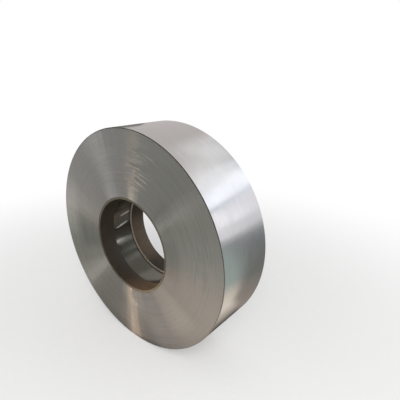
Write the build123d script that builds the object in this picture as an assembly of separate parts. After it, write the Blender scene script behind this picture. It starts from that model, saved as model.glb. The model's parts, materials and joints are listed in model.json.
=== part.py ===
# Aluminium strip coil: one long slit strip wound turn on turn over two short paper core rings.
# It stands on its tread as it stands on a floor. Millimetres, +Z up, the winding axis along Y.
# The origin is on the floor, under the middle of the coil. The front end faces -Y.
from build123d import *
import os
from math import cos, radians, sin

# The strip and the coil that it makes
coil_diameter = 1200.0
strip_width = 340.0
strip_thickness = 0.5
# Where the free end of the outer turn lies, counter-clockwise from +X, seen from the front:
# just past the floor contact, so that the coil's own weight holds it down
tail_angle = 260.0

# The paper core rings, one at each end of the bore
core_bore = 508.0
core_wall = 12.0
core_ring_width = 100.0
core_inset = 1.0
core_edge_chamfer = 0.8
core_fit_gap = 0.3

# The ends: bands of turns that sit a little further in than their neighbours, each with how far
# it starts below the tread and how wide it is, and the first and last few turns, which slipped
# in as the coil was wound
recessed_bands = [(60.0, 20.0), (99.0, 18.0), (147.0, 6.0), (180.0, 28.0), (252.0, 10.0)]
band_recess = 0.8
outer_turns_build = 3.0
outer_turns_recess = 1.6
inner_turns_build = 5.0
inner_turns_recess = 0.6

coil_radius = coil_diameter / 2
half_width = strip_width / 2
wound_bore_radius = core_bore / 2 + core_wall + core_fit_gap
# The blank is turned wider than the coil, and its tread is then cut to the spiral of the outer turn
blank_allowance = 5.0


def end_steps():
    """The stepped line of one end, from the bore outwards, as (radius, how far in it sits)."""
    first_turns = wound_bore_radius + inner_turns_build
    last_turns = coil_radius - outer_turns_build
    steps = [(wound_bore_radius, inner_turns_recess), (first_turns, inner_turns_recess), (first_turns, 0)]
    for depth, width in reversed(recessed_bands):
        start = coil_radius - depth - width
        end = coil_radius - depth
        if start > first_turns:
            steps += [(start, 0), (start, band_recess), (end, band_recess), (end, 0)]
    steps += [(last_turns, 0), (last_turns, outer_turns_recess)]
    steps += [(coil_radius + blank_allowance, outer_turns_recess)]
    return steps


def turned_blank():
    """The coil as turned: its bore and both stepped ends, with a plain oversize tread."""
    front = [(radius, recess - half_width) for radius, recess in end_steps()]
    rear = [(radius, half_width - recess) for radius, recess in reversed(end_steps())]
    outline = make_face(Polyline(*front, *rear, close=True))
    return revolve(outline, Axis.Y)


def outer_turn_prism():
    """The outer turn's outline: two half turns on centres half a thickness apart, and the step of the tail."""
    tail = Vector(cos(radians(tail_angle)), sin(radians(tail_angle)))
    first_half = CenterArc((0, 0), coil_radius, tail_angle, 180)
    second_centre = tail * (-strip_thickness / 2)
    second_half = CenterArc(second_centre, coil_radius - strip_thickness / 2, tail_angle + 180, 180)
    tail_step = Line(tail * (coil_radius - strip_thickness), tail * coil_radius)
    outline = Plane.XZ * make_face([first_half, second_half, tail_step])
    return extrude(outline, half_width, both=True)


def strip_coil():
    """The wound strip, as one solid."""
    return turned_blank() & outer_turn_prism()


def core_ring(outer_end, direction):
    """A paper ring that starts just inside an end of the coil and runs inwards along direction."""
    inner_radius = core_bore / 2
    outer_radius = inner_radius + core_wall
    start = outer_end + direction * core_inset
    stop = start + direction * core_ring_width
    section = make_face(Polyline(
        (outer_radius, start),
        (inner_radius + core_edge_chamfer, start),
        (inner_radius, start + direction * core_edge_chamfer),
        (inner_radius, stop - direction * core_edge_chamfer),
        (inner_radius + core_edge_chamfer, stop),
        (outer_radius, stop),
        close=True,
    ))
    return revolve(section, Axis.Y)


def stood_up(shape):
    """The shape lifted so that the coil's tread touches the floor."""
    return Pos(0, 0, coil_radius) * shape


nodes = {
    "strip_coil": strip_coil(),
    "core_ring_front": core_ring(-half_width, 1),
    "core_ring_rear": core_ring(half_width, -1),
}

os.makedirs("parts", exist_ok=True)
for name, shape in nodes.items():
    export_step(stood_up(shape), f"parts/{name}.step")
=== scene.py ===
import json
import math
import random

import bmesh
import bpy
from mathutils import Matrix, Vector


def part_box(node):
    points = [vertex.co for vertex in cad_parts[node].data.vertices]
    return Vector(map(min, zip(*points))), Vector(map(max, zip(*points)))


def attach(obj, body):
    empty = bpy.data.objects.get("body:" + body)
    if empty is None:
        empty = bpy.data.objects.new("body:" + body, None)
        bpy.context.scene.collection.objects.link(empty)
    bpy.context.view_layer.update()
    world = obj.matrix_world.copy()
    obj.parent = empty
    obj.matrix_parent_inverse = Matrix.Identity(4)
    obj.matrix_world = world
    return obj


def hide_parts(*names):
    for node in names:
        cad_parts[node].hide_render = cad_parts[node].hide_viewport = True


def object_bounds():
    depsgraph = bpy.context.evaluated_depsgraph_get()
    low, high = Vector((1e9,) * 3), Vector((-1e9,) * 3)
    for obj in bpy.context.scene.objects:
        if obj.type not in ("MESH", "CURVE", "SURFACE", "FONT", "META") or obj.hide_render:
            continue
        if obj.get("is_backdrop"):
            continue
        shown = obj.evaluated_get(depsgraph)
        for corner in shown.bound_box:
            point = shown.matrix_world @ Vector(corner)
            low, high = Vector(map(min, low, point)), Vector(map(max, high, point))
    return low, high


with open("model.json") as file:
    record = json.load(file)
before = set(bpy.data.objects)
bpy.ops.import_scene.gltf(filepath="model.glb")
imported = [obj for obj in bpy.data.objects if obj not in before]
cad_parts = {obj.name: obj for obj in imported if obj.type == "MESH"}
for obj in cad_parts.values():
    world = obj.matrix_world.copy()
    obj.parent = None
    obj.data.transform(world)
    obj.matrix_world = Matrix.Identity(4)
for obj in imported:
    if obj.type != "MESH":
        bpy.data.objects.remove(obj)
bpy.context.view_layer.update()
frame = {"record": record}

# The coil stands on its tread, with its winding axis level along Y. What follows is placed from
# that axis: a radius from it, an angle counter-clockwise from +X seen from the front, and a place
# along Y. The front end faces -Y. Lengths are in metres, and angles in degrees.
mm = 0.001
coil_low, coil_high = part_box("strip_coil")
axis_height = (coil_low.z + coil_high.z) / 2


# Core rings: two short rings of kraft paperboard, one in each end of the bore. Each was wound from
# glued plies of paper and sawn to length. The strip was wound over them, and they stay in the
# coil so that the mandrel can grip it without marking the first turns.

ring_low, ring_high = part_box("core_ring_front")
ring_outer_radius = (ring_high.x - ring_low.x) / 2
ring_bore_radius = frame["record"]["mounts"][0]["dims"]["r_mm"] * mm
ring_wall = ring_outer_radius - ring_bore_radius
ring_width = ring_high.y - ring_low.y
ring_segments = 240
ring_plies = 16
ring_seed = 508
# A sawn ply stands back from its neighbours by up to this much
ply_unevenness = 0.25 * mm
# The bore's edge is rubbed round. Each is (how far out of the bore, how far in from the end).
rubbed_edge = [(0.8 * mm, 0.2 * mm), (0.2 * mm, 0.4 * mm), (0, 1.2 * mm)]
# The ribbon of paper that lines the bore drifts along Y by its own width in each turn
ribbon_width = 150 * mm
seam_width = 1 * mm
# A painted highlight: ring ends nearer the middle than the first are pale, and past the second not
highlight_within = 100 * mm
highlight_until = 140 * mm


def in_scene(name, data):
    """A new object in the scene, which holds the data."""
    thing = bpy.data.objects.new(name, data)
    bpy.context.scene.collection.objects.link(thing)
    return thing


def turned(name, rows, segments):
    """A closed turned mesh. Each row is (radius, y), and the rows go once round the section."""
    points = []
    for column in range(segments):
        angle = math.tau * column / segments
        for radius, y in rows:
            height = axis_height + radius * math.sin(angle)
            points.append((radius * math.cos(angle), y, height))
    faces = []
    count = len(rows)
    for column in range(segments):
        here = column * count
        there = (column + 1) % segments * count
        for row in range(count):
            after = (row + 1) % count
            faces.append((here + row, here + after, there + after, there + row))
    mesh = bpy.data.meshes.new(name)
    mesh.from_pydata(points, [], faces)
    mesh.update()
    return in_scene(name, mesh)


def smooth_up_to(piece, degrees):
    """Shades the piece smooth, and keeps the edges that turn by more than this sharp."""
    piece.data.polygons.foreach_set("use_smooth", [True] * len(piece.data.polygons))
    piece.data.set_sharp_from_angle(angle=math.radians(degrees))


def ring_rows(outer_end, inwards, chance):
    """The section of a ring: its outer end, ply by ply, its bore and its inner end."""
    ply = ring_wall / ring_plies
    far_end = outer_end + inwards * ring_width
    outer_rows = []
    inner_rows = []
    for number in range(ring_plies - 1):
        outside = ring_outer_radius - number * ply
        back_outer = chance.uniform(0, ply_unevenness)
        back_inner = chance.uniform(0, ply_unevenness)
        for radius in (outside, outside - ply):
            outer_rows.append((radius, outer_end + inwards * back_outer))
            inner_rows.append((radius, far_end - inwards * back_inner))
    for out, back in rubbed_edge:
        outer_rows.append((ring_bore_radius + out, outer_end + inwards * back))
        inner_rows.append((ring_bore_radius + out, far_end - inwards * back))
    rows = outer_rows + inner_rows[::-1]
    # The same way round on both rings, so that all faces look outwards
    return rows[::-1] if inwards > 0 else rows


def linear(code):
    """A colour written as sRGB hex, as the linear values that a shader takes."""
    channels = [int(code[place:place + 2], 16) / 255 for place in (1, 3, 5)]
    return [c / 12.92 if c <= 0.04045 else ((c + 0.055) / 1.055) ** 2.4 for c in channels] + [1.0]


def add(tree, kind, settings=None, **links):
    """Adds a node, such as Math for ShaderNodeMath, with its settings and links. A link is named
    for its socket, with _ for a space, or by _ and the socket's number. It takes a value, an
    output, or a node for the first of its outputs in use. A ramp's stops are (place, colour)."""
    node = tree.nodes.new("ShaderNode" + kind)
    for key, value in (settings or {}).items():
        if key == "stops":
            stops = node.color_ramp.elements
            stops[0].position, stops[1].position = value[0][0], value[-1][0]
            for position, code in value[1:-1]:
                stops.new(position)
            for stop, (position, code) in zip(stops, value):
                stop.color = linear(code)
        else:
            setattr(node, key, value)
    for key, value in links.items():
        if key[0] == "_":
            socket = node.inputs[int(key[1:])]
        else:
            wanted = key.replace("_", " ")
            socket = next(one for one in node.inputs if one.enabled and one.name == wanted)
        if isinstance(value, bpy.types.Node):
            value = next(one for one in value.outputs if one.enabled)
        if isinstance(value, bpy.types.NodeSocket):
            tree.links.new(value, socket)
        else:
            socket.default_value = value
    return node


# Settings that many nodes share: a range with soft ends, a mix of two colours, and a colour that
# tints another. Nearly all the values of a noise lie between its low and its high.
soft_ended = {"interpolation_type": "SMOOTHSTEP"}
of_colours = {"data_type": "RGBA"}
tinting = {"data_type": "RGBA", "blend_type": "MULTIPLY"}
noise_low, noise_high = 0.3, 0.7


def new_material(name):
    """An empty material, its node tree, and the socket for where a point of the object is."""
    material = bpy.data.materials.new(name)
    material.use_nodes = True
    tree = material.node_tree
    tree.nodes.clear()
    return material, tree, add(tree, "TexCoord").outputs["Object"]


def off_axis(tree, place):
    """How far a place lies off the winding axis, and which way, as a vector."""
    centred = add(tree, "VectorMath", {"operation": "SUBTRACT"}, _0=place, _1=(0, 0, axis_height))
    return add(tree, "VectorMath", {"operation": "MULTIPLY"}, _0=centred, _1=(1, 0, 1))


def kraft_paperboard():
    """Wound kraft paperboard, calendered on its lining ply and sawn at its ends. A greyed brown
    with long soft fibres, a half-matt sheen on the bore, and dark seams where the ribbon meets."""
    material, tree, place = new_material("kraft_paperboard")
    along = add(tree, "SeparateXYZ", Vector=place).outputs["Y"]
    # Fibres are some 2 mm long and 0.1 mm wide. They are drawn 12 mm long, so that they show.
    fibre_length = 12 * mm
    fibres = add(tree, "TexNoise", Vector=place, Scale=1 / fibre_length, Detail=6.0, Roughness=0.7)
    blotch_size = 60 * mm
    blotches = add(tree, "TexNoise", Vector=place, Scale=1 / blotch_size, Detail=2.0)
    blotch_share = 0.35
    tone = add(tree, "Mix", Factor=blotch_share, A=fibres, B=blotches)
    browns = [(noise_low, "#272018"), (noise_high, "#3b3227")]
    lining = add(tree, "ValToRGB", {"stops": browns}, Fac=tone)
    # The seam is a helix: it is where the turn's angle and the drift along Y come to a whole number
    off = add(tree, "SeparateXYZ", Vector=off_axis(tree, place))
    angle = add(tree, "Math", {"operation": "ARCTAN2"}, _0=off.outputs["Z"], _1=off.outputs["X"])
    turns = add(tree, "Math", {"operation": "DIVIDE"}, _0=angle, _1=math.tau)
    drift = add(tree, "Math", {"operation": "DIVIDE"}, _0=along, _1=ribbon_width)
    phase = add(tree, "Math", {"operation": "ADD"}, _0=turns, _1=drift)
    share = add(tree, "Math", {"operation": "FRACT"}, _0=phase)
    from_seam = add(tree, "Math", {"operation": "PINGPONG"}, _0=share, _1=0.5)
    seam = add(tree, "Math", {"operation": "LESS_THAN"}, _0=from_seam, _1=seam_width / ribbon_width)
    lining = add(tree, "Mix", tinting, Factor=seam, A=lining, B=linear("#b3adaa"))
    relief = add(tree, "Math", {"operation": "SUBTRACT"}, _0=fibres, _1=seam)
    bump = add(tree, "Bump", Strength=0.35, Distance=0.4 * mm, Height=relief)
    sheen = add(tree, "MapRange", Value=fibres, To_Min=0.42, To_Max=0.62)
    # The sawn ends are paler than the lining ply. The ends inside the bore are paler still, as a
    # painted highlight.
    normal = add(tree, "NewGeometry").outputs["Normal"]
    facing = add(tree, "SeparateXYZ", Vector=normal).outputs["Y"]
    facing = add(tree, "Math", {"operation": "ABSOLUTE"}, _0=facing)
    sawn = add(tree, "MapRange", Value=facing, From_Min=0.3, From_Max=0.8)
    fuzz = add(tree, "Mix", of_colours, Factor=fibres, A=linear("#484135"), B=linear("#645c4d"))
    off_middle = add(tree, "Math", {"operation": "ABSOLUTE"}, _0=along)
    end_highlight = add(tree, "MapRange", Value=off_middle, From_Min=highlight_within, From_Max=highlight_until,
                To_Min=1.0, To_Max=0.0)
    fuzz = add(tree, "Mix", of_colours, Factor=end_highlight, A=fuzz, B=linear("#b2a89d"))
    paper = add(tree, "Mix", of_colours, Factor=sawn, A=lining, B=fuzz)
    shader = add(tree, "BsdfPrincipled", Base_Color=paper, Roughness=sheen, IOR=1.5, Normal=bump)
    add(tree, "OutputMaterial", Surface=shader)
    return material


paperboard = kraft_paperboard()
chance = random.Random(ring_seed)
for node, inwards in (("core_ring_front", 1), ("core_ring_rear", -1)):
    low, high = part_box(node)
    rows = ring_rows(low.y if inwards > 0 else high.y, inwards, chance)
    ring = turned("paper_" + node, rows, ring_segments)
    smooth_up_to(ring, degrees=40)
    ring.data.materials.append(paperboard)
    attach(ring, "root")
    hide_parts(node)


# Wound strip: one long strip of half-hard aluminium, slit to width and wound turn on turn. Both
# ends show the slit edges of all its turns, the tread is the rolled face of the outer turn, and
# between the rings the first turns lie bare in the bore, buckled a little inwards.

coil_radius = (coil_high.z - coil_low.z) / 2
half_width = coil_high.y
strip_thickness = 0.5 * mm
ring_fit_gap = 0.3 * mm
wound_bore_radius = ring_outer_radius + ring_fit_gap
# The mesh's columns lie this many degrees apart, and closer where the bore wall's buckles show
column_step = 1.25
buckle_step = 0.4
buckled_part = (150, 234)
# Rows of faces across the tread, and along the bare wall
tread_steps = 6
wall_steps = 14
# The free end of the outer turn, just past the floor contact
tail_angle = 260
# Bands of turns that sit a little further in, as (how far below the tread, width), and the
# first and last few turns, which slipped in
recessed_bands = [(60 * mm, 20 * mm), (99 * mm, 18 * mm), (147 * mm, 6 * mm), (180 * mm, 28 * mm),
                  (252 * mm, 10 * mm)]
band_recess = 0.8 * mm
inner_turns_build = 5 * mm
inner_turns_recess = 0.6 * mm
outer_turns_recess = 1.6 * mm
# Between the bands, groups of turns differ by less than a thickness. Opposite the angle where a
# group sits deepest, it has this share of that depth.
group_build = (4 * mm, 11 * mm)
group_unevenness = 0.3 * mm
shallowest_share = 0.3
front_seed = 3
rear_seed = 7
# Radii closer than this count as the same
same_place = 0.1 * mm
# The last turns, some nine of them, lie loose: a gap opens below them, widest at the top right
gap_start = 4.6 * mm
gap_depth = 9 * mm
gap_width = (0.6 * mm, 3.2 * mm)
widest_gap_angle = 70
# Half the length of wall that lies bare between the rings, which sit 1 mm in, less 1 mm. Behind
# each ring the wall has two plain rows of points: this far past the bare part and from its edge.
bare_half_length = half_width - 2 * mm - ring_width
backed_row = 6 * mm
edge_row = 8 * mm
# Buckles of the first turns, as (angle, how far inwards in mm, half its width in degrees, Y of its
# top)
buckles = [
    (228, 0.5, 1.0, 0), (203, 0.55, 4.6, -50 * mm), (182, 3.0, 1.6, 0), (168, 3.0, 2.2, 45 * mm),
    (155, 1.5, 3.5, 0), (133, 1.2, 4, 0), (97, 1.5, 6, 0), (61, 1.4, 3, 0), (24, 1.6, 5, 0),
    (348, 2.0, 6, 0), (321, 1.6, 3, 0), (299, 1.2, 4, 0),
]
# A buckle runs askew: its rear end lies this many degrees back. It dies away at the rings, and the
# lower the taper, the closer to them.
buckle_lean = 3.5
buckle_length = 75 * mm
buckle_taper = 0.4
# The mesh's faces by what they show, with the number of their material
surfaces = {"end": 0, "tread": 1, "bore": 2}


def nearness(angle, middle):
    """1 at the middle angle, falling to 0 opposite it."""
    return 0.5 + 0.5 * math.cos(math.radians(angle - middle))


def tread_radius(angle):
    """The outer turn is a spiral: in its second half turn it drops by one thickness."""
    past_tail = (angle - tail_angle) % 360
    if past_tail < 180:
        return coil_radius
    return coil_radius - strip_thickness / 2 * (1 + math.cos(math.radians(past_tail)))


def end_groups(chance):
    """The stepped groups of one end as (inner radius, outer radius, recess, the angle where it is
    deepest), from the bore outwards."""
    bands = [(coil_radius - depth - width, coil_radius - depth) for depth, width in recessed_bands]
    bands.reverse()
    last_turns = coil_radius - gap_start
    edge = wound_bore_radius + inner_turns_build
    groups = [(wound_bore_radius, edge, inner_turns_recess, 0)]
    while edge < last_turns - same_place:
        coming = [start for start, end in bands if start > edge - same_place]
        around = [end for start, end in bands if start - same_place <= edge < end - same_place]
        recess = chance.uniform(0, group_unevenness)
        if around:
            recess += band_recess - group_unevenness
        stop = (around + coming + [last_turns])[0]
        end = edge + chance.uniform(*group_build)
        if stop - end < group_build[0]:
            end = stop
        groups.append((edge, end, recess, chance.uniform(0, 360)))
        edge = end
    return groups


def end_rows(side, seed):
    """The rows of one end, from the bore outwards, each a function of the angle that gives
    (radius, y). The front's side is -1, the rear's is 1."""
    rows = []
    for inner, outer, recess, deepest in end_groups(random.Random(seed)):
        for radius in (inner, outer):
            def row(angle, radius=radius, recess=recess, deepest=deepest):
                share = shallowest_share + (1 - shallowest_share) * nearness(angle, deepest)
                return radius, side * (half_width - recess * share)
            rows.append(row)
    # Down the gap, up again, and over the edge of the loose turns
    for depth, outside in ((gap_depth, 0), (gap_depth, 1), (outer_turns_recess, 1)):
        def row(angle, depth=depth, outside=outside):
            near = nearness(angle, widest_gap_angle)
            width = gap_width[0] + (gap_width[1] - gap_width[0]) * near ** 2
            return coil_radius - gap_start + outside * width, side * (half_width - depth)
        rows.append(row)
    return rows


def buckle(angle, y):
    """How far the first turn stands inwards of the round bore, nothing where a ring backs it."""
    across = max(0.0, 1 - (y / bare_half_length) ** 2)
    inwards = 0
    for middle, height, half, top in buckles:
        apart = (angle - middle + buckle_lean * y / bare_half_length + 180) % 360 - 180
        inwards += height * mm * math.exp(-(apart / half) ** 2 - ((y - top) / buckle_length) ** 2)
    return inwards * across ** buckle_taper


def coil_rows():
    """The rows once round the coil's section, each with the kind of surface that starts at it."""
    rows = [(row, "end") for row in end_rows(-1, front_seed)]
    rim = half_width - outer_turns_recess
    for step in range(tread_steps + 1):
        y = -rim + 2 * rim * step / tread_steps
        kind = "tread" if step < tread_steps else "end"
        rows.append((lambda angle, y=y: (tread_radius(angle), y), kind))
    rear = end_rows(1, rear_seed)
    rows += [(row, "end") for row in rear[:0:-1]] + [(rear[0], "bore")]
    edge = half_width - inner_turns_recess
    wall = [edge - edge_row, bare_half_length + backed_row]
    for step in range(wall_steps + 1):
        wall.append(bare_half_length - 2 * bare_half_length * step / wall_steps)
    wall += [-bare_half_length - backed_row, -edge + edge_row]
    for y in wall:
        rows.append((lambda angle, y=y: (wound_bore_radius - buckle(angle, y), y), "bore"))
    return rows


def wound_coil():
    """The coil's mesh. Its columns start and end at the strip's free end, where the tread steps."""
    rows = coil_rows()
    count = len(rows)
    hair = 1e-6
    turns = [0.0]
    while turns[-1] < 360:
        close = buckled_part[0] <= (tail_angle + turns[-1]) % 360 < buckled_part[1]
        turns.append(min(360.0, turns[-1] + (buckle_step if close else column_step)))
    columns = len(turns) - 1
    points = []
    ridges = []
    for column, turn in enumerate(turns):
        angle = tail_angle + turn
        across = math.radians(angle)
        # The last column lies a hair before the free end, where the spiral hasn't stepped yet
        spiral = angle if column < columns else angle - hair
        for row, kind in rows:
            radius, y = row(spiral)
            height = axis_height + radius * math.sin(across)
            points.append((radius * math.cos(across), y, height))
            ridges.append(buckle(angle, y) / mm if kind == "bore" else 0.0)
    faces = []
    numbers = []
    for column in range(columns):
        here = column * count
        there = here + count
        for row in range(count):
            after = (row + 1) % count
            faces.append((here + row, here + after, there + after, there + row))
            numbers.append(surfaces[rows[row][1]])
    # The step at the free end, from the last column up to the first. The first column's faces
    # beside the tread take in its lower corners.
    last = columns * count
    treads = [row for row in range(count) if rows[row][1] == "tread"]
    before = treads[0] - 1
    after = treads[-1] + 1
    faces[before] = (before, last + treads[0], treads[0], count + treads[0], count + before)
    faces[after] = (after, last + after, after + 1, count + after + 1, count + after)
    for row in treads:
        faces.append((last + row, last + row + 1, row + 1, row))
        numbers.append(surfaces["tread"])
    mesh = bpy.data.meshes.new("wound_strip")
    mesh.from_pydata(points, [], faces)
    mesh.polygons.foreach_set("material_index", numbers)
    # How far inwards the bore wall is buckled, in millimetres, for its material
    mesh.attributes.new("ridge", "FLOAT", "POINT").data.foreach_set("value", ridges)
    mesh.update()
    piece = in_scene("wound_strip", mesh)
    weld = piece.modifiers.new("weld", "WELD")
    weld.merge_threshold = 0.001 * mm
    return piece


# Where turns were knocked in handling, at the top and at the right, as (angle, half its width in
# degrees, the radius where it starts, the one where it ends, how hard)
knocks = [(77, 18, 0.30, 0.56, 1.0), (12, 24, 0.36, 0.57, 0.6)]
# Going outwards, the marks come in over the first of these and die away over the second
knock_fades = (0.08, 0.05)
# Painted highlights and painted shade along the end's fans of light, as (angle, half its width in
# degrees, the radius where it is full, the one where it ends, brightness)
fan_tints = [
    (185, 19, 0.40, 0.53, 0.73), (5, 26, 0.30, 0.40, 0.79), (40, 15, 0.34, 0.46, 0.86),
    (319, 15, 0.46, 0.60, 1.22), (170, 24, 0.53, 0.44, 1.17), (120, 8, 0.28, 0.38, 1.2),
    (80, 8, 0.28, 0.38, 1.2), (280, 9, 0.31, 0.50, 1.3), (260, 8, 0.30, 0.38, 1.2),
]


def near_angle(tree, direction, middle, half, full=1.0):
    """A mask that is full at an angle round the axis and fades out over half its width to each
    side."""
    towards = (math.cos(math.radians(middle)), 0, math.sin(math.radians(middle)))
    facing = add(tree, "VectorMath", {"operation": "DOT_PRODUCT"}, _0=direction, _1=towards)
    return add(tree, "MapRange", soft_ended, Value=facing, From_Min=math.cos(math.radians(half)),
               From_Max=1.0, To_Max=full)


def noise_round_axis(tree, direction, layer, around, detail, roughness=0.5):
    """Noise that runs round the axis. It changes once for each step of the layer, and 'around'
    times in an arc as long as its radius."""
    turning = add(tree, "VectorMath", {"operation": "SCALE"}, _0=direction, Scale=around)
    lift = add(tree, "CombineXYZ", Y=layer)
    place = add(tree, "VectorMath", {"operation": "ADD"}, _0=turning, _1=lift)
    return add(tree, "TexNoise", Vector=place, Scale=1.0, Detail=detail, Roughness=roughness)


def slit_edge_aluminium():
    """The slit edges of some 670 turns side by side, bare aluminium. A half-matt grey, grooved
    round the axis, so that light fans out from the bore, with fine arcs where turns differ."""
    material, tree, place = new_material("slit_edge_aluminium")
    off = off_axis(tree, place)
    direction = add(tree, "VectorMath", {"operation": "NORMALIZE"}, _0=off)
    radius = add(tree, "VectorMath", {"operation": "LENGTH"}, _0=off)
    # Arcs round the axis have their lengths at this radius, in the middle of the end
    middle_turns = 420 * mm
    # One turn is 0.5 mm. The grooves are drawn 4 mm apart and the groups of turns 14 mm, so that
    # they show.
    patterns = []
    for pitch, arc in ((4 * mm, 140 * mm), (14 * mm, 262.5 * mm)):
        layer = add(tree, "Math", {"operation": "DIVIDE"}, _0=radius, _1=pitch)
        patterns.append(noise_round_axis(tree, direction, layer, middle_turns / arc, detail=3.0,
                                         roughness=0.65))
    grooves, groups = patterns
    # Each group of turns leans a little its own way along the turn, which frays the fans of light
    own_lean = 0.055
    both = add(tree, "Math", {"operation": "ADD"}, _0=grooves, _1=groups)
    lean = add(tree, "MapRange", Value=both, From_Min=0.5, From_Max=1.5, To_Min=-own_lean,
               To_Max=own_lean)
    # Where turns were knocked they lean more, and each group of them its own way. The marks are
    # 1 or 2 mm wide, and are drawn 7 mm wide, so that they show.
    knocked = 0.0
    for middle, half, inner, outer, hard in knocks:
        near = near_angle(tree, direction, middle, half, hard)
        inside = add(tree, "MapRange", soft_ended, Value=radius, From_Min=inner,
                     From_Max=inner + knock_fades[0])
        outside = add(tree, "MapRange", soft_ended, Value=radius, From_Min=outer - knock_fades[1],
                      From_Max=outer, To_Min=1.0, To_Max=0.0)
        ring = add(tree, "Math", {"operation": "MULTIPLY"}, _0=inside, _1=outside)
        knocked = add(tree, "Math", {"operation": "MULTIPLY_ADD"}, _0=near, _1=ring, _2=knocked)
    mark_width = 7 * mm
    mark_arc = 105 * mm
    # This far apart in the noise, no two marks look alike
    mark_step = 1.37
    mark_lean = 0.2
    layer = add(tree, "Math", {"operation": "DIVIDE"}, _0=radius, _1=mark_width)
    layer = add(tree, "Math", {"operation": "FLOOR"}, _0=layer)
    layer = add(tree, "Math", {"operation": "MULTIPLY"}, _0=layer, _1=mark_step)
    marks = noise_round_axis(tree, direction, layer, middle_turns / mark_arc, detail=2.0)
    marks = add(tree, "MapRange", Value=marks, From_Min=noise_low, From_Max=noise_high,
                To_Min=-mark_lean, To_Max=mark_lean)
    lean = add(tree, "Math", {"operation": "MULTIPLY_ADD"}, _0=marks, _1=knocked, _2=lean)
    # The whole winding is a little wavy round the axis, which gives faint rays out from the bore
    ray_width = 16.15 * mm
    ray_length = 333 * mm
    ray_lean = 0.03
    layer = add(tree, "Math", {"operation": "DIVIDE"}, _0=radius, _1=ray_length)
    rays = noise_round_axis(tree, direction, layer, middle_turns / ray_width, detail=3.0)
    rays = add(tree, "MapRange", Value=rays, From_Min=noise_low, From_Max=noise_high,
               To_Min=-ray_lean, To_Max=ray_lean)
    lean = add(tree, "Math", {"operation": "ADD"}, _0=rays, _1=lean)
    along_turn = add(tree, "VectorMath", {"operation": "CROSS_PRODUCT"}, _0=direction, _1=(0, 1, 0))
    push = add(tree, "VectorMath", {"operation": "SCALE"}, _0=along_turn, Scale=lean)
    bump = add(tree, "Bump", Strength=0.25, Distance=0.2 * mm, Height=grooves)
    leaning = add(tree, "VectorMath", {"operation": "ADD"}, _0=bump, _1=push)
    normal = add(tree, "VectorMath", {"operation": "NORMALIZE"}, _0=leaning)
    greys = [(noise_low, "#b3b2b0"), (noise_high, "#c3c2c1")]
    tone = add(tree, "ValToRGB", {"stops": greys}, Fac=groups)
    # Painted highlights and painted shade by angle, along the fans of light
    for middle, half, inner, outer, brightness in fan_tints:
        near = near_angle(tree, direction, middle, half)
        fade = add(tree, "MapRange", soft_ended, Value=radius, From_Min=inner, From_Max=outer,
                   To_Min=1.0, To_Max=0.0)
        fan_tint = add(tree, "Math", {"operation": "MULTIPLY"}, _0=near, _1=fade)
        tone = add(tree, "Mix", tinting, Factor=fan_tint, A=tone,
                   B=(brightness, brightness, brightness, 1))
    dull = add(tree, "MapRange", Value=groups, From_Min=noise_low, From_Max=noise_high,
               To_Min=0.4, To_Max=0.48)
    tangent = add(tree, "Tangent", {"direction_type": "RADIAL", "axis": "Y"})
    shader = add(tree, "BsdfPrincipled", Base_Color=tone, Metallic=1.0, Roughness=dull,
                 Anisotropic=1.0, Anisotropic_Rotation=0.25, Normal=normal, Tangent=tangent)
    add(tree, "OutputMaterial", Surface=shader)
    return material


def mill_finish_aluminium():
    """Cold rolled aluminium as the mill leaves it. Bright, with a soft mirror across the strip
    and hair-fine rolling lines along it, and a few dull scuffs."""
    material, tree, place = new_material("mill_finish_aluminium")
    direction = add(tree, "VectorMath", {"operation": "NORMALIZE"}, _0=off_axis(tree, place))
    along = add(tree, "SeparateXYZ", Vector=place).outputs["Y"]
    # Rolling lines are some 0.1 mm wide. They are drawn 2.5 mm apart, so that they show.
    line_pitch = 2.5 * mm
    line_length = 400 * mm
    layer = add(tree, "Math", {"operation": "DIVIDE"}, _0=along, _1=line_pitch)
    lines = noise_round_axis(tree, direction, layer, coil_radius / line_length, detail=4.0,
                             roughness=0.6)
    scuff_size = 90 * mm
    scuffs = add(tree, "TexNoise", Vector=place, Scale=1 / scuff_size, Detail=5.0, Roughness=0.65)
    bump = add(tree, "Bump", Strength=0.12, Distance=0.05 * mm, Height=lines)
    greys = [(noise_low, "#dbd9d7"), (noise_high, "#e6e5e4")]
    colour = add(tree, "ValToRGB", {"stops": greys}, Fac=lines)
    dull = add(tree, "MapRange", Value=scuffs, From_Min=0.35, From_Max=0.7, To_Min=0.13,
               To_Max=0.19)
    tangent = add(tree, "Tangent", {"direction_type": "RADIAL", "axis": "Y"})
    shader = add(tree, "BsdfPrincipled", Base_Color=colour, Metallic=1.0, Roughness=dull,
                 Anisotropic=0.6, Anisotropic_Rotation=0.25, Normal=bump, Tangent=tangent)
    add(tree, "OutputMaterial", Surface=shader)
    return material


# Painted shade on the bore wall by angle, as (angle, half its width in degrees, the tint that it
# gives the metal)
bore_shade_patches = [(189, 11, "#aa9590"), (148, 18, "#bcb8b5")]
# A buckle gets a painted highlight along its top where it stands further inwards than the first
# of these, in mm, and a full one from the second on
highlight_heights = (1.2, 2.2)


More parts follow.
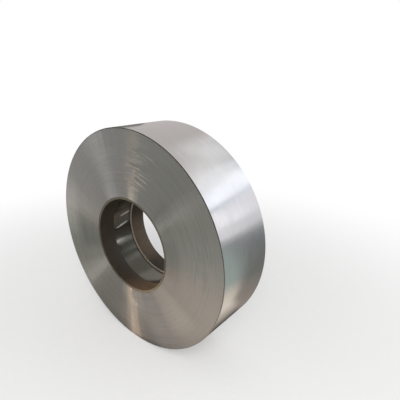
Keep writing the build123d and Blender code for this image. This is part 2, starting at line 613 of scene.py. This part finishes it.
def shaded_bore_aluminium():
    """The side of the strip that the first turn shows in the bore. Its dark grey is painted shade
    of the deep bore. It has a dry film of rolling oil in cloudy patches, two patches of painted
    shade, and a painted highlight along the top of each high buckle."""
    material, tree, place = new_material("shaded_bore_aluminium")
    direction = add(tree, "VectorMath", {"operation": "NORMALIZE"}, _0=off_axis(tree, place))
    # The film dried in patches some 110 mm across
    film_size = 110 * mm
    film = add(tree, "TexNoise", Vector=place, Scale=1 / film_size, Detail=5.0, Roughness=0.6)
    # Rolling lines are some 0.1 mm wide. They are drawn 1.7 mm apart, so that they show.
    line_length = 24 * mm
    line_narrowing = 14
    narrowed = add(tree, "VectorMath", {"operation": "MULTIPLY"}, _0=place,
                   _1=(1, line_narrowing, 1))
    lines = add(tree, "TexNoise", Vector=narrowed, Scale=1 / line_length, Detail=4.0)
    bump = add(tree, "Bump", Strength=0.08, Distance=0.05 * mm, Height=lines)
    # A dark grey, which is painted shade of the deep bore
    greys = [(noise_low, "#7b7a73"), (noise_high, "#88867f")]
    tone = add(tree, "ValToRGB", {"stops": greys}, Fac=film)
    # Two patches of painted shade by angle
    for middle, half, tint in bore_shade_patches:
        bore_shade = near_angle(tree, direction, middle, half)
        tone = add(tree, "Mix", tinting, Factor=bore_shade, A=tone, B=linear(tint))
    # Painted highlight along the tops of the high buckles
    ridge = add(tree, "Attribute", {"attribute_name": "ridge"}).outputs["Fac"]
    buckle_highlight = add(tree, "MapRange", soft_ended, Value=ridge, From_Min=highlight_heights[0],
                 From_Max=highlight_heights[1])
    tone = add(tree, "Mix", of_colours, Factor=buckle_highlight, A=tone, B=linear("#eceae6"))
    dull = add(tree, "MapRange", Value=film, From_Min=0.35, From_Max=0.65, To_Min=0.16, To_Max=0.2)
    shader = add(tree, "BsdfPrincipled", Base_Color=tone, Metallic=1.0, Roughness=dull, Normal=bump)
    add(tree, "OutputMaterial", Surface=shader)
    return material


coil = wound_coil()
smooth_up_to(coil, degrees=35)
# In the order of their numbers in surfaces
coil.data.materials.append(slit_edge_aluminium())
coil.data.materials.append(mill_finish_aluminium())
coil.data.materials.append(shaded_bore_aluminium())
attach(coil, "root")
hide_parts("strip_coil")


# Floor: a plain pale studio floor of matt white paint, under the coil. It is not part of the
# object. It runs into the white background, and keeps the coil's shadow.

floor_half = 40.0
# Nearer than the first of these distances it shows its paint, mixed with the share of pure white
# below. Past the second it is pure white.
floor_painted = 0.7
floor_white = 3.2
painted_white_share = 0.25


def seen_by_camera(tree):
    """1 for rays from the camera and those that metal or glass sends on, and 0 for the rest."""
    rays = add(tree, "LightPath").outputs
    seen = rays["Is Camera Ray"]
    for kind in ("Is Glossy Ray", "Is Transmission Ray"):
        seen = add(tree, "Math", {"operation": "MAXIMUM"}, _0=seen, _1=rays[kind])
    return seen


def pale_floor():
    """Matt white paint with faint specks. It keeps the coil's shadow, and runs into the white
    background, for the camera and in the metal alike."""
    material, tree, place = new_material("pale_floor")
    speck_size = 40 * mm
    specks = add(tree, "TexNoise", Vector=place, Scale=1 / speck_size, Detail=3.0)
    paint = add(tree, "Mix", of_colours, Factor=specks, A=linear("#f1f1f1"), B=linear("#f6f6f6"))
    matt = add(tree, "BsdfDiffuse", Color=paint)
    white = add(tree, "Emission", Color=linear("#ffffff"), Strength=1.0)
    distance = add(tree, "VectorMath", {"operation": "LENGTH"}, _0=place)
    share = add(tree, "MapRange", soft_ended, Value=distance, From_Min=floor_painted,
                From_Max=floor_white, To_Min=painted_white_share, To_Max=1.0)
    share = add(tree, "Math", {"operation": "MULTIPLY"}, _0=seen_by_camera(tree), _1=share)
    surface = add(tree, "MixShader", _0=share, _1=matt, _2=white)
    add(tree, "OutputMaterial", Surface=surface)
    return material


def level_sheet(name, half, height):
    """A level square sheet, half its side to each side of the coil."""
    corners = [(x * half, y * half, height) for x, y in ((-1, -1), (1, -1), (1, 1), (-1, 1))]
    mesh = bpy.data.meshes.new(name)
    mesh.from_pydata(corners, [], [(0, 1, 2, 3)])
    return in_scene(name, mesh)


floor = level_sheet("floor", floor_half, height=0)
floor.data.materials.append(pale_floor())
floor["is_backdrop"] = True


# Light: a white room at a plain level, and a key softbox at the front right. Two narrow lamps
# throw streaks of light on the front end, and two more shine into the ends of the bore, where
# the paper is. None of it is part of the object.

room_strength = 0.58
world = bpy.data.worlds.new("white_room")
bpy.context.scene.world = world
world.use_nodes = True
room = world.node_tree
room.nodes.clear()
strength = add(room, "Mix", Factor=seen_by_camera(room), A=room_strength, B=1.0)
sky = add(room, "Background", Color=linear("#ffffff"), Strength=strength)
add(room, "OutputWorld", Surface=sky)

coil_middle = Vector((0, 0, axis_height))
softbox_side = 2.4
# A radiance of 1 shows as white
softbox_radiance = 7.5
# Each narrow lamp as (name, the rays that don't show it, which way it hangs from the coil's
# middle, how far off, what it looks at, its cone in degrees, how much of the cone's edge is soft,
# its size, its power, its colour). Only the metal shows the streaks, and only the paper the rest.
narrow_lamps = [
    ("left_streak_lamp", "visible_diffuse", (-0.625, -0.47, 0.647), 9.0, (0.0, -0.17, -0.2),
     13.5, 1.0, 0.48, 790, "#ffe0c2"),
    ("right_streak_lamp", "visible_diffuse", (0.153, -0.963, 0.22), 4.0, (-0.34, -0.17, 0.28),
     34, 1.0, 0.15, 38, "#fffaf2"),
    ("front_bore_lamp", "visible_glossy", (-0.35, -0.6, 0.7), 4.0, (0.13, -0.12, 0.35),
     5.8, 1.0, 0.06, 1600, "#ffead4"),
    ("rear_bore_lamp", "visible_glossy", (0.712, 0.389, 0.583), 4.0, (-0.19, 0.12, 0.49),
     4.6, 0.6, 0.04, 1100, "#f3efec"),
]


def hung_lamp(name, kind, colour, direction, distance, aim):
    """A lamp that hangs off the coil's middle and looks at its aim."""
    light = bpy.data.lights.new(name, kind)
    light.color = linear(colour)[:3]
    lamp = in_scene(name, light)
    lamp.location = coil_middle + Vector(direction).normalized() * distance
    lamp.rotation_mode = "QUATERNION"
    lamp.rotation_quaternion = (Vector(aim) - lamp.location).to_track_quat("-Z", "Y")
    return lamp


key = hung_lamp("key_softbox", "AREA", "#fffefb", (0.537, -0.576, 0.616), distance=5.0,
                aim=coil_middle)
key.data.shape = "SQUARE"
key.data.size = softbox_side
key.data.energy = softbox_radiance * math.pi * softbox_side ** 2
# The metal shows the tent below in its place
key.visible_glossy = False
for name, hidden_from, direction, distance, aim, cone, blend, size, power, colour in narrow_lamps:
    lamp = hung_lamp(name, "SPOT", colour, direction, distance, aim)
    lamp.data.energy = power
    lamp.data.shadow_soft_size = size
    lamp.data.spot_size = math.radians(cone)
    lamp.data.spot_blend = blend
    setattr(lamp, hidden_from, False)


# Tent and mat: a tent of grey cloth round the coil and a warm grey mat under it, with a darker
# cloth on the mat behind the coil. A photographer hangs these round bright metal, so that it shows
# soft greys and one clear window. Only the metal shows them.

tent_radius = 12.0
tent_grey = "#91928b"
# Each patch of the tent as (azimuth from, to, elevation from, to, softness, colour, radiance), in
# degrees. The azimuth is from +Y towards +X. A later patch lies over an earlier one.
tent_patches = [
    (-95, 75, -5, 95, 25, "#c4bfbd", 1.03),
    (-16, 60, -5, 44, 22, "#f4f4f6", 1.1),
    (-14, 17, 12, 35.5, 3, "#bfc4cb", 1.0),
    (11, 32, 31.5, 39, 4, "#f4f6fa", 1.17),
    (14.5, 44, 2, 31.4, 1.2, "#f2f7ff", 1.45),
    (8, 46, 2, 20, 6, "#e9e9f1", 1.1),
    (37, 50, 2, 20, 5, "#fafaff", 1.3),
    (20, 46, 20.2, 22.4, 0.5, "#ccd4dc", 1.0),
    (4, 42, -3, 8.5, 5, "#e0e0e6", 1.0),
    (46, 68, -5, 70, 8, "#62615c", 1.0),
    (-30, 62, 46, 72, 8, "#96948f", 1.0),
    (36, 54, 32, 50, 4, "#6e6d69", 1.0),
    (55.5, 64, 8.5, 13.5, 3, "#ffffff", 3.6),
    (20, 33, -5, 0.0, 2.0, "#787a7c", 1.0),
    (33, 60, -5, 0.0, 2.0, "#babdbf", 1.0),
    (-80, -47.5, -5, 12, 1.0, "#73716e", 1.0),
    (-175, -108, -5, 60, 12, "#9e9e98", 1.0),
    (-112, -96, 5, 18, 4, "#ffffff", 2.5),
]


def tent_cloth():
    """Grey tent cloth that glows, with brighter and darker patches."""
    material, tree, place = new_material("tent_cloth")
    axes = add(tree, "SeparateXYZ", Vector=place).outputs
    azimuth = add(tree, "Math", {"operation": "ARCTAN2"}, _0=axes["X"], _1=axes["Y"])
    sine = add(tree, "Math", {"operation": "DIVIDE"}, _0=axes["Z"], _1=tent_radius)
    elevation = add(tree, "Math", {"operation": "ARCSINE"}, _0=sine)
    glow = linear(tent_grey)
    for left, right, bottom, top, softness, colour, radiance in tent_patches:
        mask = 1.0
        for angle, start, stop in ((azimuth, left, right), (elevation, bottom, top)):
            for edge, before, past in ((start, 0.0, 1.0), (stop, 1.0, 0.0)):
                side = add(tree, "MapRange", soft_ended, Value=angle,
                           From_Min=math.radians(edge - softness / 2),
                           From_Max=math.radians(edge + softness / 2), To_Min=before, To_Max=past)
                mask = add(tree, "Math", {"operation": "MULTIPLY"}, _0=mask, _1=side)
        patch = [channel * radiance for channel in linear(colour)[:3]] + [1.0]
        glow = add(tree, "Mix", of_colours, Factor=mask, A=glow, B=patch)
    cloth = add(tree, "Emission", Color=glow, Strength=1.0)
    add(tree, "OutputMaterial", Surface=cloth)
    return material


def only_in_metal(piece):
    """Makes the piece one that only reflections show."""
    piece.visible_camera = False
    piece.visible_diffuse = False
    piece.visible_transmission = False
    piece.visible_shadow = False
    piece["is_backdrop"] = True


tent_mesh = bpy.data.meshes.new("tent")
shape = bmesh.new()
bmesh.ops.create_uvsphere(shape, u_segments=64, v_segments=32, radius=tent_radius)
shape.to_mesh(tent_mesh)
shape.free()
tent = in_scene("tent", tent_mesh)
tent.location = coil_middle
tent.data.materials.append(tent_cloth())
only_in_metal(tent)

mat_half = 13.0
mat_height = 0.5 * mm
# Each change of the mat's tone runs from one distance to another, in metres. Under the coil it has
# a painted shadow, which lightens away from it, in front of it six times as fast.
shade_ends = (0.42, 0.72)
front_weight = 6.0
# From the left to the right it gets brighter, and far to the right it turns grey
lit_from_left = (-0.5, 0.05)
grey_on_right = (0.85, 1.25)
# Further off it is dull and then pale on the left, and pale all the way in front
further_off = (0.75, 1.8)
left_reach = (1.0, 9.0)
front_to_left = (-0.9, 0.1)
# Behind the coil, to the right, the darker cloth lies on it, with its edge along the line
# y = cloth_slope * x + cloth_start
cloth_slope = 1.1
cloth_start = -0.37
cloth_softness = 0.07
cloth_from_left = (-0.6, 0.2)
cloth_from_front = (0.36, 0.48)
cloth_reach = (0.8, 8.0)


def floor_mat():
    """A warm grey mat that glows like a lit floor, with its grey and its dark parts."""
    material, tree, place = new_material("floor_mat")
    axes = add(tree, "SeparateXYZ", Vector=place).outputs
    across, along = axes["X"], axes["Y"]
    distance = add(tree, "VectorMath", {"operation": "LENGTH"}, _0=place)
    side = add(tree, "Math", {"operation": "ABSOLUTE"}, _0=across)
    front = add(tree, "Math", {"operation": "MULTIPLY_ADD"}, _0=along, _1=-front_weight,
                _2=-front_weight * half_width)
    away = add(tree, "Math", {"operation": "MAXIMUM"}, _0=side, _1=front)
    slant = add(tree, "Math", {"operation": "SUBTRACT"}, _0=along, _1=across)
    past_edge = add(tree, "Math", {"operation": "MULTIPLY_ADD"}, _0=across, _1=-cloth_slope,
                    _2=along)
    cloth_edge = (cloth_start - cloth_softness, cloth_start + cloth_softness)
    shade, reach, cloth_place = (
        add(tree, "MapRange", Value=value, From_Min=start, From_Max=end)
        for value, (start, end) in ((away, shade_ends), (distance, left_reach),
                                    (distance, cloth_reach)))
    lit, off, leftwards, rightwards, past, beside, behind = (
        add(tree, "MapRange", soft_ended, Value=value, From_Min=start, From_Max=end)
        for value, (start, end) in ((across, lit_from_left), (distance, further_off),
                                    (slant, front_to_left), (across, grey_on_right),
                                    (past_edge, cloth_edge), (across, cloth_from_left),
                                    (along, cloth_from_front)))
    warm = add(tree, "Mix", of_colours, Factor=lit, A=linear("#a59a90"), B=linear("#e8dccf"))
    # Painted shadow of the coil, darkest under it
    warm = add(tree, "Mix", of_colours, Factor=shade, A=linear("#393531"), B=warm)
    dull_to_pale = [(0.0, "#828279"), (0.09, "#828279"), (0.2, "#f6f7f9"), (0.4, "#c8c9c6"),
                    (1.0, "#c4c5c1")]
    on_left = add(tree, "ValToRGB", {"stops": dull_to_pale}, Fac=reach)
    on_left.color_ramp.interpolation = "EASE"
    distant = add(tree, "Mix", of_colours, Factor=leftwards, A=linear("#cfd0c7"), B=on_left)
    glow = add(tree, "Mix", of_colours, Factor=off, A=warm, B=distant)
    glow = add(tree, "Mix", of_colours, Factor=rightwards, A=glow, B=linear("#a3aeab"))
    cloth_greys = [(0.0, "#8f877f"), (0.08, "#72736f"), (0.3, "#77797b"), (1.0, "#94969a")]
    cloth = add(tree, "ValToRGB", {"stops": cloth_greys}, Fac=cloth_place)
    covered = past
    for limit in (beside, behind):
        covered = add(tree, "Math", {"operation": "MULTIPLY"}, _0=covered, _1=limit)
    glow = add(tree, "Mix", of_colours, Factor=covered, A=glow, B=cloth)
    light = add(tree, "Emission", Color=glow, Strength=1.0)
    add(tree, "OutputMaterial", Surface=light)
    return material


mat = level_sheet("floor_mat", mat_half, mat_height)
mat.data.materials.append(floor_mat())
only_in_metal(mat)


# Camera: at the photograph's angle, fitted to the rims of the coil and of its bore. The photograph
# was cut from a wider one, so the lens axis is off its middle, and the shift puts it back.

eye = Vector((1.2066, -1.1659, 1.4105))
view_azimuth = math.radians(43.01)
view_elevation = math.radians(25.81)
lens = bpy.data.cameras.new("camera")
lens.sensor_width = 36
lens.lens = 29.874
lens.shift_x = 0.0804
lens.shift_y = 0.0900
camera = in_scene("camera", lens)
camera.location = eye
forward = Vector((-math.sin(view_azimuth) * math.cos(view_elevation),
                  math.cos(view_azimuth) * math.cos(view_elevation), -math.sin(view_elevation)))
camera.rotation_mode = "QUATERNION"
camera.rotation_quaternion = forward.to_track_quat("-Z", "Y")
bpy.context.scene.camera = camera

bpy.context.scene.view_settings.view_transform = "Standard"

low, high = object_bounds()
